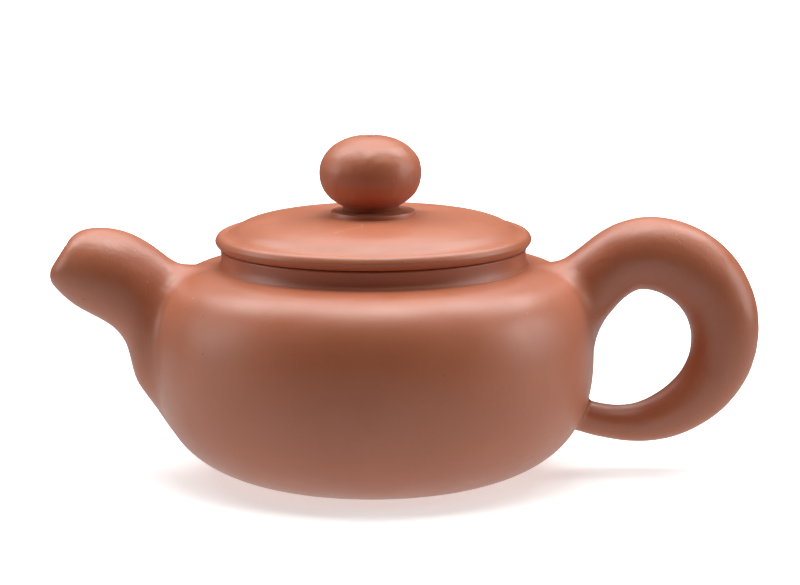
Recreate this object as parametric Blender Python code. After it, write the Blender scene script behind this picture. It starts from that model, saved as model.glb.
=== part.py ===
"""A flat clay teapot with a lift-off lid, built from its separately formed clay pieces.

Metres, +Z up. The origin is the centre of the foot, on the pot's axis. The spout points to -X
and the ear handle to +X. Run with: blender --background --python part.py
"""

from math import acos, cos, pi, radians, sin

import bmesh
import bpy
from mathutils import Matrix, Vector

# Gaps and overruns
JOINT_GAP = 0.0003  # between two luted pieces, and between the lid's seat and the neck
LID_PLAY = 0.0004  # between the lid's flange and the neck's bore, on the radius
CUT_OVERRUN = 0.002  # how far a cutter passes the surface that it cuts
POINT_MERGE = 0.000003  # points of a turned outline this near the axis become one

# Body of the pot
FOOT_RADIUS = 0.026
FOOT_ANGLE = 14.7  # degrees, the rise of the wall where it leaves the foot
BELLY_RADIUS = 0.0442
BELLY_HEIGHT = 0.0238
SHOULDER_HEIGHT = 0.0422
WALL = 0.003
FOOT_PULL_SHARE = 0.786  # of the run from foot to belly
BELLY_LOWER_PULL_SHARE = 0.489  # of the belly's height
BELLY_UPPER_PULL_SHARE = 0.464  # of the rise from belly to shoulder
NECK_PULL_SHARE = 0.92  # of the run from belly to neck
BASE_SEAM_SHARE = 0.38  # of the lower curve, where the base disc is luted on
SHOULDER_SEAM_SHARE = 0.68  # of the upper curve, where the shoulder disc is luted on

# Neck and mouth
NECK_RADIUS = 0.0306
NECK_HEIGHT = 0.0036
NECK_WALL = 0.0032
NECK_BORE_RADIUS = NECK_RADIUS - NECK_WALL
NECK_WAIST = 0.00015  # how far the neck's side draws in between its ends
NECK_FOOT_FLARE = 0.0005
NECK_LIP_ROUND = 0.0003

# Spout: a short horn with one bend, cut off square at its nose
SPOUT_REACH = 0.0207  # from the belly to the nose
SPOUT_RISE = 0.0079  # over the shoulder
SPOUT_THICKNESS = 0.0184
SPOUT_WALL = 0.0032
SPOUT_MOUTH_RADIUS = 0.0026
SPOUT_TILTS = (6, 7, 9, 10, 10, 10, 11, 13, 13, 15, 19, 24, 30, 34)  # degrees
# Each row: centre's reach, centre's height, half height and half width (of the thickness)
SPOUT_STATION_SHARES = (
    (-0.479, 0.458, 0.947, 0.517),
    (-0.179, 0.543, 0.834, 0.509),
    (-0.05, 0.589, 0.782, 0.502),
    (0.054, 0.639, 0.736, 0.496),
    (0.136, 0.701, 0.641, 0.486),
    (0.212, 0.752, 0.559, 0.488),
    (0.338, 0.792, 0.515, 0.495),
    (0.473, 0.816, 0.49, 0.485),
    (0.597, 0.832, 0.46, 0.46),
    (0.708, 0.846, 0.416, 0.421),
    (0.798, 0.86, 0.357, 0.368),
    (0.859, 0.875, 0.298, 0.312),
    (0.889, 0.892, 0.239, 0.254),
    (0.891, 0.908, 0.16, 0.18),
)

# Inlet in the wall behind the spout, and the domed strainer in it
INLET_RADIUS = 0.007
INLET_HEIGHT_SHARE = 0.675  # of the shoulder height
STRAINER_WALL = 0.0014
STRAINER_SET_BACK = 0.0024  # from the belly's outside to the strainer's outer end
STRAINER_COLLAR_LENGTH = 0.0024
STRAINER_DOME_HEIGHT = 0.0058
STRAINER_HOLE_RADIUS = 0.0008
STRAINER_HOLE_ROWS = ((0, 1), (31, 6), (60, 10))  # degrees from the axis, and holes in the row

# Handle: a full ear ring, thick at its crown and thin at its lower root
HANDLE_REACH = 0.0334  # from the belly to the ring's outside
HANDLE_RISE = 0.0096  # over the shoulder
HANDLE_THICKNESS = 0.0154
# Each row: section's turn in degrees, from up at 0 to outwards at 90
HANDLE_TURNS = (-18, -20, -14, -10, -6, 5, 25, 50, 79, 108, 126, 141, 163, 174, 198, 196)
# Each row: centre's reach, centre's height, half depth and half width (of the thickness)
HANDLE_STATION_SHARES = (
    (-0.204, 0.572, 0.745, 0.55),
    (-0.115, 0.628, 0.682, 0.54),
    (-0.03, 0.713, 0.529, 0.514),
    (0.026, 0.76, 0.476, 0.476),
    (0.103, 0.819, 0.453, 0.459),
    (0.33, 0.856, 0.475, 0.469),
    (0.579, 0.799, 0.501, 0.475),
    (0.747, 0.669, 0.49, 0.471),
    (0.789, 0.491, 0.457, 0.45),
    (0.682, 0.33, 0.405, 0.398),
    (0.546, 0.253, 0.358, 0.355),
    (0.424, 0.209, 0.316, 0.309),
    (0.26, 0.184, 0.259, 0.259),
    (0.127, 0.188, 0.231, 0.231),
    (-0.046, 0.214, 0.23, 0.237),
    (-0.22, 0.246, 0.211, 0.224),
)

# Lid
LID_OVERHANG = 0.001  # how far the lid passes the neck
LID_RADIUS = NECK_RADIUS + LID_OVERHANG
BEAD_RADIUS = 0.0014
BEAD_LIFT_SHARE = 0.95  # of the bead's radius, its centre's height over the seat
BEAD_ANGLES = (117, -60)  # degrees round the bead, from the groove inside it to its underside
CROWN_RISE = 0.00625  # from the seat to the lid's flat crown
CROWN_RADIUS = 0.009
DOME_EDGE_PULL = 0.003
DOME_EDGE_RISE_SHARE = 0.3  # of the pull at the dome's edge
DOME_CROWN_PULL_SHARE = 0.958  # of the run from crown to groove
LID_THICKNESS = 0.0026
FLANGE_WALL = 0.0023
FLANGE_DEPTH = 0.006
FLANGE_TOE_BEVEL = 0.0005

# Knob, its stem and its collar
KNOB_RADIUS = 0.0102
KNOB_HALF_HEIGHT = 0.00757
KNOB_SHIFT = -0.0005  # the knob was set a little off the lid's axis
KNOB_ROUNDNESS = 2.17  # the exponent of the knob's outline, 2 for an ellipse
STEM_RADIUS = 0.0056
STEM_LENGTH = 0.00076  # what shows between the collar and the knob
STEM_FILLET = 0.0004
COLLAR_RADIUS = 0.0085
COLLAR_THICKNESS = 0.00055
COLLAR_EDGE_ROUND = 0.00025
COLLAR_DISH = 0.00012
VENT_RADIUS = 0.0011
VENT_SHIFT = -0.0008  # the vent was pierced a little off the knob's centre
VENT_FUNNEL_RADIUS = 0.0016
VENT_FUNNEL_DEPTH = 0.0006

# Facets
TURNED_STEPS = 56
KNOB_STEPS = 40
CURVE_STEPS = 9
SECTION_STEPS = 20
BORE_STEPS = 14
STEPS_BETWEEN_STATIONS = 3
HOLE_STEPS = 8

# Colours in linear RGB
CLAY = (0.42, 0.155, 0.092)
CLAY_WORKED = (0.37, 0.13, 0.078)
CLAY_INSIDE = (0.34, 0.12, 0.072)

# Heights that follow from the sizes above
SPOUT_HEIGHT = SHOULDER_HEIGHT + SPOUT_RISE
HANDLE_HEIGHT = SHOULDER_HEIGHT + HANDLE_RISE
INLET_HEIGHT = INLET_HEIGHT_SHARE * SHOULDER_HEIGHT
NECK_TOP = SHOULDER_HEIGHT + NECK_HEIGHT
LID_SEAT = NECK_TOP + JOINT_GAP
CROWN_HEIGHT = LID_SEAT + CROWN_RISE
COLLAR_BOTTOM = CROWN_HEIGHT + JOINT_GAP
COLLAR_TOP = COLLAR_BOTTOM + COLLAR_THICKNESS


def clear_scene():
    """Remove every object, mesh and material that is already in the file."""
    for item in list(bpy.data.objects):
        bpy.data.objects.remove(item, do_unlink=True)
    for mesh in list(bpy.data.meshes):
        bpy.data.meshes.remove(mesh)
    for material in list(bpy.data.materials):
        bpy.data.materials.remove(material)


def clay(name, colour, roughness):
    """An unglazed clay body as a Principled material."""
    material = bpy.data.materials.new(name)
    material.use_nodes = True
    shader = material.node_tree.nodes["Principled BSDF"]
    shader.inputs["Base Color"].default_value = (*colour, 1)
    shader.inputs["Roughness"].default_value = roughness
    shader.inputs["Metallic"].default_value = 0
    return material


def add_object(name, mesh, material, parent):
    """Link a mesh as a named piece that rides on its parent empty."""
    item = bpy.data.objects.new(name, mesh)
    bpy.context.scene.collection.objects.link(item)
    item.parent = parent
    mesh.materials.append(material)
    mesh.shade_smooth()
    mesh.set_sharp_from_angle(angle=radians(32))
    return item


def make_cutter(item):
    """Keep a cutter out of renders and out of the finished part."""
    item.hide_render = True
    item.display_type = "WIRE"
    return item


def cut(item, cutter):
    """Take the cutter's shape out of a piece."""
    modifier = item.modifiers.new("Cut by " + cutter.name, "BOOLEAN")
    modifier.operation = "DIFFERENCE"
    modifier.solver = "EXACT"
    modifier.object = cutter


def bezier(start, pull_out, pull_in, end, steps=CURVE_STEPS):
    """Points along one cubic curve in the (radius, height) plane, both ends included."""
    points = []
    for i in range(steps + 1):
        t = i / steps
        u = 1 - t
        points.append(
            start * u**3 + pull_out * (3 * u * u * t) + pull_in * (3 * u * t * t) + end * t**3
        )
    return points


def arc(centre, radius, first, last, steps):
    """Points on a circle in the (radius, height) plane, between two angles in degrees."""
    points = []
    for i in range(steps + 1):
        angle = radians(first + (last - first) * i / steps)
        points.append(centre + Vector((cos(angle), sin(angle))) * radius)
    return points


def offset(points, distance):
    """The outline moved to its left by a distance, with mitred corners."""
    moved = []
    for i, point in enumerate(points):
        before = points[max(i - 1, 0)]
        after = points[min(i + 1, len(points) - 1)]
        arriving = (point - before).normalized() if i else (after - point).normalized()
        leaving = (after - point).normalized() if i < len(points) - 1 else arriving
        normal = Vector((-arriving.y - leaving.y, arriving.x + leaving.x)).normalized()
        mitre = normal.dot(Vector((-arriving.y, arriving.x)))
        moved.append(point + normal * (distance / mitre))
    return moved


def stretch(points, start, end):
    """The part of an outline between two lengths measured along it."""
    part = []
    passed = 0
    for a, b in zip(points, points[1:]):
        run = (b - a).length
        if not part and start <= passed + run:
            part.append(a.lerp(b, (start - passed) / run))
        if part and end <= passed + run:
            part.append(a.lerp(b, (end - passed) / run))
            return part
        passed += run
        if part:
            part.append(b)
    return part


def length_of(points):
    """The length of an outline."""
    return sum((b - a).length for a, b in zip(points, points[1:]))


def turn(name, outline, material, parent, steps=TURNED_STEPS, centre_x=0):
    """Turn an outline about the vertical axis.

    An outline whose ends lie on the axis is closed by it. Any other is a ring's section, so its
    last point joins its first.
    """
    shape = bmesh.new()
    vertices = [shape.verts.new((r, 0, z)) for r, z in outline]
    pairs = list(zip(vertices, vertices[1:]))
    if outline[0].x > 0:
        pairs.append((vertices[-1], vertices[0]))
    edges = [shape.edges.new(pair) for pair in pairs]
    bmesh.ops.spin(
        shape,
        geom=vertices + edges,
        cent=(0, 0, 0),
        axis=(0, 0, 1),
        angle=2 * pi,
        steps=steps,
        use_merge=True,
    )
    on_axis = [vertex for vertex in shape.verts if vertex.co.xy.length < POINT_MERGE]
    bmesh.ops.remove_doubles(shape, verts=on_axis, dist=POINT_MERGE)
    bmesh.ops.translate(shape, verts=shape.verts, vec=(centre_x, 0, 0))
    bmesh.ops.recalc_face_normals(shape, faces=shape.faces)
    mesh = bpy.data.meshes.new(name)
    shape.to_mesh(mesh)
    shape.free()
    return add_object(name, mesh, material, parent)


def smooth_row(rows, index, t):
    """One row between rows index and index + 1, on a Catmull-Rom curve through all of them."""
    last = len(rows) - 1
    a, b, c, d = (rows[min(max(index + k, 0), last)] for k in (-1, 0, 1, 2))
    return tuple(
        0.5 * (2 * q + (r - p) * t + (2 * p - 5 * q + 4 * r - s) * t**2 + (3 * q - p - 3 * r + s) * t**3)
        for p, q, r, s in zip(a, b, c, d)
    )


def refined(rows):
    """The rows with smooth rows between them."""
    finer = []
    for i in range(len(rows) - 1):
        for k in range(STEPS_BETWEEN_STATIONS):
            finer.append(smooth_row(rows, i, k / STEPS_BETWEEN_STATIONS))
    finer.append(rows[-1])
    return finer


def loft(name, stations, material, parent, steps=SECTION_STEPS):
    """Skin closed elliptical sections whose centres lie in the plane Y = 0.

    A station is (centre x, centre z, half depth, half width, turn): its depth points up at a
    turn of 0 degrees and to +X at 90.
    """
    shape = bmesh.new()
    rings = []
    for x, z, half_depth, half_width, turned in stations:
        depth = Vector((sin(radians(turned)), 0, cos(radians(turned)))) * half_depth
        width = Vector((0, half_width, 0))
        ring = []
        for i in range(steps):
            angle = 2 * pi * i / steps
            ring.append(shape.verts.new(Vector((x, 0, z)) + depth * sin(angle) + width * cos(angle)))
        rings.append(ring)
    for ring, following in zip(rings, rings[1:]):
        for i in range(steps):
            j = (i + 1) % steps
            shape.faces.new((ring[i], ring[j], following[j], following[i]))
    shape.faces.new(rings[0])
    shape.faces.new(rings[-1])
    bmesh.ops.recalc_face_normals(shape, faces=shape.faces)
    mesh = bpy.data.meshes.new(name)
    shape.to_mesh(mesh)
    shape.free()
    return add_object(name, mesh, material, parent)


def rods(name, axes, radius, material, parent):
    """Straight round rods, each between two points, as one object."""
    shape = bmesh.new()
    for start, end in axes:
        along = end - start
        place = Matrix.Translation((start + end) / 2) @ along.to_track_quat("Z", "Y").to_matrix().to_4x4()
        bmesh.ops.create_cone(
            shape,
            cap_ends=True,
            segments=HOLE_STEPS,
            radius1=radius,
            radius2=radius,
            depth=along.length,
            matrix=place,
        )
    mesh = bpy.data.meshes.new(name)
    shape.to_mesh(mesh)
    shape.free()
    return add_object(name, mesh, material, parent)


def body_outline():
    """The pot's outside in section, from the edge of the foot up to the foot of the neck."""
    foot = Vector((FOOT_RADIUS, 0))
    belly = Vector((BELLY_RADIUS, BELLY_HEIGHT))
    neck = Vector((NECK_RADIUS, SHOULDER_HEIGHT))
    foot_pull = FOOT_PULL_SHARE * (BELLY_RADIUS - FOOT_RADIUS)
    lower = bezier(
        foot,
        foot + Vector((cos(radians(FOOT_ANGLE)), sin(radians(FOOT_ANGLE)))) * foot_pull,
        belly - Vector((0, BELLY_LOWER_PULL_SHARE * BELLY_HEIGHT)),
        belly,
    )
    upper = bezier(
        belly,
        belly + Vector((0, BELLY_UPPER_PULL_SHARE * (SHOULDER_HEIGHT - BELLY_HEIGHT))),
        neck + Vector((NECK_PULL_SHARE * (BELLY_RADIUS - NECK_RADIUS), 0)),
        neck,
    )
    return lower, upper


def make_base_disc(material, pot):
    """The slab that closes the pot below, flat underfoot, with its rim beaten up to the wall."""
    lower, upper = body_outline()
    rim = stretch(lower, 0, BASE_SEAM_SHARE * length_of(lower))
    outer = [Vector((0, 0))] + rim
    return turn("base_disc", outer + offset(outer, WALL)[::-1], material, pot)


def make_body_wall(material, pot):
    """The belly wall, from the base disc's rim up to the shoulder seam, with the spout's inlet."""
    lower, upper = body_outline()
    outside = lower + upper[1:]
    seam = length_of(lower) + SHOULDER_SEAM_SHARE * length_of(upper)
    outer = stretch(outside, BASE_SEAM_SHARE * length_of(lower) + JOINT_GAP, seam)
    wall = turn("body_wall", outer + offset(outer, WALL)[::-1], material, pot)
    ends = (-BELLY_RADIUS - CUT_OVERRUN, WALL + 2 * CUT_OVERRUN - BELLY_RADIUS)
    hole = loft(
        "inlet_cutter", [(x, INLET_HEIGHT, INLET_RADIUS, INLET_RADIUS, 0) for x in ends], material, pot
    )
    cut(wall, make_cutter(hole))
    return wall


def make_shoulder_disc(material, pot):
    """The ring slab that closes the pot above, flat under the neck and open at the mouth."""
    lower, upper = body_outline()
    outside = upper + [Vector((NECK_BORE_RADIUS, SHOULDER_HEIGHT))]
    seam = SHOULDER_SEAM_SHARE * length_of(upper) + JOINT_GAP
    outer = stretch(outside, seam, length_of(outside))
    return turn("shoulder_disc", outer + offset(outer, WALL)[::-1], material, pot)


def make_neck_ring(material, pot):
    """The short upright collar whose flat top is the lid's seat."""
    bottom = SHOULDER_HEIGHT + JOINT_GAP
    outline = [
        Vector((NECK_BORE_RADIUS, bottom)),
        Vector((NECK_RADIUS + NECK_FOOT_FLARE, bottom)),
        Vector((NECK_RADIUS, bottom + NECK_FOOT_FLARE)),
        Vector((NECK_RADIUS - NECK_WAIST, (bottom + NECK_TOP) / 2)),
        Vector((NECK_RADIUS, NECK_TOP - NECK_LIP_ROUND)),
        Vector((NECK_RADIUS - NECK_LIP_ROUND, NECK_TOP)),
        Vector((NECK_BORE_RADIUS + NECK_LIP_ROUND, NECK_TOP)),
        Vector((NECK_BORE_RADIUS, NECK_TOP - NECK_LIP_ROUND)),
    ]
    return turn("neck_ring", outline, material, pot)


def make_pot_cutter(material, pot):
    """The whole outside of the pot, one joint gap proud, that trims the roots luted to it."""
    lower, upper = body_outline()
    outside = offset(lower + upper[1:], -JOINT_GAP)
    outside[0] = Vector((outside[0].x, -CUT_OVERRUN))
    neck_side = NECK_RADIUS + NECK_FOOT_FLARE + JOINT_GAP
    outside[-1] = Vector((neck_side, outside[-1].y))
    outline = [Vector((0, -CUT_OVERRUN))] + outside
    outline += [Vector((neck_side, NECK_TOP)), Vector((0, NECK_TOP))]
    return make_cutter(turn("pot_cutter", outline, material, pot))


def spout_stations(inset=0, least=0):
    """The spout's sections from its root to its nose, or those of its bore, a wall inside them."""
    stations = []
    for (reach, height, depth, width), tilt in zip(SPOUT_STATION_SHARES, SPOUT_TILTS):
        stations.append(
            (
                -(BELLY_RADIUS + reach * SPOUT_REACH),
                height * SPOUT_HEIGHT,
                max(depth * SPOUT_THICKNESS - inset, least),
                max(width * SPOUT_THICKNESS - inset, least),
                tilt,
            )
        )
    return refined(stations)


def make_spout(material, pot, pot_cutter):
    """The spout: a lofted horn with its bore, its flared root trimmed to the belly."""
    spout = loft("spout", spout_stations(), material, pot)
    bore_stations = spout_stations(SPOUT_WALL, SPOUT_MOUTH_RADIUS)
    x, z, half_depth, half_width, tilt = bore_stations[-1]
    way_out = Vector((-cos(radians(tilt)), sin(radians(tilt)))) * CUT_OVERRUN
    bore_stations.append((x + way_out.x, z + way_out.y, half_depth, half_width, tilt))
    bore = loft("spout_bore_cutter", bore_stations, material, pot, BORE_STEPS)
    cut(spout, pot_cutter)
    cut(spout, make_cutter(bore))
    return spout


def make_strainer(material, pot):
    """The perforated clay dome that keeps leaves out of the spout, set in the inlet."""
    radius = INLET_RADIUS - JOINT_GAP
    outer_end = STRAINER_SET_BACK - BELLY_RADIUS
    dome_start = outer_end + STRAINER_COLLAR_LENGTH
    outer = []
    inner = []
    for i in range(CURVE_STEPS - 2):
        angle = pi / 2 * i / (CURVE_STEPS - 2)
        outer.append(Vector((radius * cos(angle), dome_start + STRAINER_DOME_HEIGHT * sin(angle))))
        inner.append(
            Vector(
                (
                    (radius - STRAINER_WALL) * cos(angle),
                    dome_start + (STRAINER_DOME_HEIGHT - STRAINER_WALL) * sin(angle),
                )
            )
        )
    outline = [Vector((0, dome_start + STRAINER_DOME_HEIGHT - STRAINER_WALL))] + inner[::-1]
    outline += [Vector((radius - STRAINER_WALL, outer_end)), Vector((radius, outer_end))]
    outline += outer + [Vector((0, dome_start + STRAINER_DOME_HEIGHT))]
    strainer = turn_along_x("strainer", outline, material, pot)
    centre = Vector((dome_start, 0, INLET_HEIGHT))
    axes = []
    for lean, count in STRAINER_HOLE_ROWS:
        for k in range(count):
            around = 2 * pi * k / count
            aim = Vector((cos(radians(lean)), sin(radians(lean)) * cos(around), sin(radians(lean)) * sin(around)))
            start = centre + aim * (STRAINER_DOME_HEIGHT - STRAINER_WALL - CUT_OVERRUN / 2)
            axes.append((start, centre + aim * (INLET_RADIUS + CUT_OVERRUN / 2)))
    cut(strainer, make_cutter(rods("strainer_cutter", axes, STRAINER_HOLE_RADIUS, material, pot)))
    return strainer


def turn_along_x(name, outline, material, parent):
    """Turn an outline of (radius, x) points about the inlet's axis, which runs along X."""
    item = turn(name, outline, material, parent, SECTION_STEPS + HOLE_STEPS)
    item.data.transform(Matrix.Translation((0, 0, INLET_HEIGHT)) @ Matrix.Rotation(pi / 2, 4, "Y"))
    return item


def make_handle(material, pot, pot_cutter):
    """The ear handle: a solid ring whose thickness swells and tapers, trimmed to the pot."""
    stations = []
    for (reach, height, depth, width), turned in zip(HANDLE_STATION_SHARES, HANDLE_TURNS):
        stations.append(
            (
                BELLY_RADIUS + reach * HANDLE_REACH,
                height * HANDLE_HEIGHT,
                depth * HANDLE_THICKNESS,
                width * HANDLE_THICKNESS,
                turned,
            )
        )
    handle = loft("handle", refined(stations), material, pot)
    cut(handle, pot_cutter)
    return handle


def make_lid_dome(material, lid):
    """The lid's top: a low dome inside a rolled bead, with a flat seat underneath."""
    bead_centre = Vector((LID_RADIUS - BEAD_RADIUS, LID_SEAT + BEAD_LIFT_SHARE * BEAD_RADIUS))
    bead = arc(bead_centre, BEAD_RADIUS, *BEAD_ANGLES, CURVE_STEPS - 1)
    groove = bead[0]
    crown = Vector((CROWN_RADIUS, CROWN_HEIGHT))
    dome = bezier(
        crown,
        crown + Vector((DOME_CROWN_PULL_SHARE * (groove.x - crown.x), 0)),
        groove + Vector((-DOME_EDGE_PULL, DOME_EDGE_RISE_SHARE * DOME_EDGE_PULL)),
        groove,
    )
    flange_bore = NECK_BORE_RADIUS - LID_PLAY - FLANGE_WALL
    under_crown = Vector((CROWN_RADIUS, CROWN_HEIGHT - LID_THICKNESS))
    hollow_corner = Vector((flange_bore - LID_THICKNESS, under_crown.y))
    hollow = bezier(
        Vector((flange_bore, LID_SEAT)), hollow_corner, hollow_corner, under_crown, CURVE_STEPS - 3
    )
    outline = [Vector((0, CROWN_HEIGHT))] + dome + bead[1:]
    outline.append(Vector((bead[-1].x, LID_SEAT)))
    outline += hollow + [Vector((0, under_crown.y))]
    return turn("lid_dome", outline, material, lid)


def make_lid_flange(material, lid):
    """The ring under the lid that drops into the neck and keeps the lid centred."""
    outer = NECK_BORE_RADIUS - LID_PLAY
    inner = outer - FLANGE_WALL
    top = LID_SEAT - JOINT_GAP
    toe = top - FLANGE_DEPTH
    outline = [
        Vector((inner, top)),
        Vector((outer, top)),
        Vector((outer, toe + FLANGE_TOE_BEVEL)),
        Vector((outer - FLANGE_TOE_BEVEL, toe)),
        Vector((inner + FLANGE_TOE_BEVEL, toe)),
        Vector((inner, toe + FLANGE_TOE_BEVEL)),
    ]
    return turn("lid_flange", outline, material, lid)


def make_knob_collar(material, lid):
    """The low round step between the lid and the knob's stem."""
    outline = [
        Vector((0, COLLAR_BOTTOM)),
        Vector((COLLAR_RADIUS, COLLAR_BOTTOM)),
        Vector((COLLAR_RADIUS, COLLAR_TOP - COLLAR_EDGE_ROUND)),
        Vector((COLLAR_RADIUS - COLLAR_EDGE_ROUND, COLLAR_TOP)),
        Vector(((COLLAR_RADIUS + STEM_RADIUS) / 2, COLLAR_TOP - COLLAR_DISH)),
        Vector((STEM_RADIUS, COLLAR_TOP)),
        Vector((0, COLLAR_TOP)),
    ]
    return turn("knob_collar", outline, material, lid, KNOB_STEPS)


def knob_angle(radius):
    """The angle above the knob's equator at which its outline has a radius."""
    return acos((radius / KNOB_RADIUS) ** (KNOB_ROUNDNESS / 2))


def knob_point(angle, centre_height):
    """A point of the knob's outline, a superellipse, at an angle above its equator."""
    power = 2 / KNOB_ROUNDNESS
    rise = KNOB_HALF_HEIGHT * abs(sin(angle)) ** power
    return Vector((KNOB_RADIUS * cos(angle) ** power, centre_height + (rise if angle > 0 else -rise)))


def knob_centre_height():
    """The height of the knob's equator, so that its underside meets the stem's end."""
    stem_top = COLLAR_TOP + JOINT_GAP + STEM_LENGTH
    return stem_top - knob_point(-knob_angle(STEM_RADIUS), 0).y


def make_knob(material, lid):
    """The flattened ball on its stem."""
    stem_bottom = COLLAR_TOP + JOINT_GAP
    start = -knob_angle(STEM_RADIUS)
    end = knob_angle(VENT_FUNNEL_RADIUS)
    steps = 2 * CURVE_STEPS
    ball = [
        knob_point(start + (end - start) * i / steps, knob_centre_height()) for i in range(steps + 1)
    ]
    outline = [
        Vector((0, stem_bottom)),
        Vector((STEM_RADIUS + STEM_FILLET, stem_bottom)),
        Vector((STEM_RADIUS, stem_bottom + STEM_FILLET)),
    ]
    outline += ball + [Vector((0, knob_centre_height() + KNOB_HALF_HEIGHT))]
    return turn("knob", outline, material, lid, KNOB_STEPS, KNOB_SHIFT)


def make_vent_cutter(material, lid):
    """The vent's needle and its funnel, which pass through the knob, its collar and the dome."""
    top = knob_centre_height() + KNOB_HALF_HEIGHT
    outline = [
        Vector((0, LID_SEAT)),
        Vector((VENT_RADIUS, LID_SEAT)),
        Vector((VENT_RADIUS, top - VENT_FUNNEL_DEPTH)),
        Vector((VENT_FUNNEL_RADIUS, top)),
        Vector((VENT_FUNNEL_RADIUS, top + CUT_OVERRUN)),
        Vector((0, top + CUT_OVERRUN)),
    ]
    return make_cutter(turn("vent_cutter", outline, material, lid, SECTION_STEPS, VENT_SHIFT))


def main():
    clear_scene()
    pot = bpy.data.objects.new("pot", None)
    lid = bpy.data.objects.new("lid", None)
    for empty in (pot, lid):
        bpy.context.scene.collection.objects.link(empty)
    smooth_clay = clay("smooth_clay", CLAY, 0.55)
    worked_clay = clay("worked_clay", CLAY_WORKED, 0.62)
    inside_clay = clay("inside_clay", CLAY_INSIDE, 0.7)
    cutter_clay = clay("cutter", CLAY_INSIDE, 1)

    make_base_disc(smooth_clay, pot)
    make_body_wall(smooth_clay, pot)
    make_shoulder_disc(smooth_clay, pot)
    make_neck_ring(smooth_clay, pot)
    pot_cutter = make_pot_cutter(cutter_clay, pot)
    make_spout(worked_clay, pot, pot_cutter)
    make_strainer(inside_clay, pot)
    make_handle(worked_clay, pot, pot_cutter)

    make_lid_flange(inside_clay, lid)
    vent_cutter = make_vent_cutter(cutter_clay, lid)
    for piece in (
        make_lid_dome(smooth_clay, lid),
        make_knob_collar(smooth_clay, lid),
        make_knob(worked_clay, lid),
    ):
        cut(piece, vent_cutter)


main()
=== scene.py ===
"""The looks of a flat clay teapot: one seamless pot skin, its strainer and its lift-off lid.

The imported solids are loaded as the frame, in metres, +Z up, with the foot's centre at the origin,
the spout towards -X and the handle towards +X. Profiles below are in millimetres.
"""

from math import acos, cos, pi, radians, sin

import bpy
import numpy as np
from bpy.props import FloatProperty, FloatVectorProperty, IntProperty, PointerProperty
from bpy.types import Operator, Panel, PropertyGroup
from mathutils import Matrix, Vector, noise
from mathutils.bvhtree import BVHTree


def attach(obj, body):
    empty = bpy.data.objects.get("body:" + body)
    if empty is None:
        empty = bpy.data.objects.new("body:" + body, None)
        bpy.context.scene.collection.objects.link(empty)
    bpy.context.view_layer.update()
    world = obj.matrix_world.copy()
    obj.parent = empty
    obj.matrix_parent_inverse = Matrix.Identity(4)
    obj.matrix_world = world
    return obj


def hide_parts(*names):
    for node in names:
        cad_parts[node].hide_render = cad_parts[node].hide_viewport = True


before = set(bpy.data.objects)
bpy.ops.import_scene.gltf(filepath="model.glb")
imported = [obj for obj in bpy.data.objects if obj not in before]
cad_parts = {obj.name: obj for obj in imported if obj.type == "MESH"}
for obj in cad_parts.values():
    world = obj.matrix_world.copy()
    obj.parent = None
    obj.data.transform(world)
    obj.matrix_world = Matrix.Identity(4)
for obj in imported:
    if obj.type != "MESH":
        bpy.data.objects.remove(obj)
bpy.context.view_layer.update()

bl_info = {
    "name": "Flat clay teapot",
    "version": (1, 0, 0),
    "blender": (4, 5, 0),
    "location": "View3D > Sidebar > Teapot",
    "description": "Builds the clay skins, the lid and the studio around the teapot's solids",
    "category": "Add Mesh",
}

MM = 0.001

# The pot's profile, in millimetres
FOOT_RADIUS = 26.0
FOOT_ANGLE = 14.7
FOOT_PULL = 14.31
BELLY_RADIUS = 44.2
BELLY_HEIGHT = 23.8
BELLY_LOWER_PULL = 11.64
BELLY_UPPER_PULL = 8.54
SHOULDER_HEIGHT = 42.2
SHOULDER_PULL = 12.51
WALL = 3.0
NECK_RADIUS = 30.6
NECK_BORE = 27.4
NECK_TOP = 45.8
LID_SEAT = 46.1

# The spout's guide sections: centre x and z, half depth, half width, lean in degrees
SPOUT_SECTIONS = (
    (-35.60, 23.89, 17.02, 9.46, 6.1),
    (-39.17, 26.31, 15.75, 9.52, 6.7),
    (-41.78, 28.24, 14.78, 9.15, 7.2),
    (-43.88, 30.18, 14.16, 9.20, 9.7),
    (-45.73, 32.39, 13.46, 9.07, 10.0),
    (-46.86, 34.82, 11.96, 8.91, 10.1),
    (-47.92, 37.09, 10.52, 9.03, 9.7),
    (-49.87, 39.00, 9.71, 9.17, 10.8),
    (-52.59, 40.45, 9.20, 9.10, 11.8),
    (-56.99, 41.96, 8.61, 8.42, 15.2),
    (-61.90, 43.35, 6.25, 6.20, 18.0),
    (-66.00, 45.90, 2.80, 3.00, 32.0),
)
SPOUT_CHANNEL = (
    (-38.0, 27.5, 8.0, 6.2, 10),
    (-43.9, 30.2, 9.0, 6.0, 10),
    (-46.9, 34.8, 8.0, 5.8, 11),
    (-49.9, 38.8, 6.2, 5.8, 14),
    (-54.0, 41.0, 5.4, 5.4, 18),
    (-58.4, 42.8, 3.9, 3.9, 24),
    (-61.6, 44.5, 2.6, 2.6, 33),
    (-68.0, 48.7, 2.6, 2.6, 33),
)
NOSE_CENTRE = (-62.6, 45.1)
NOSE_LEAN = 31.5
NOSE_ROUND = 2.2

# How deep inside the belly's outside the channel starts
CHANNEL_DEPTH = 0.4

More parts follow.
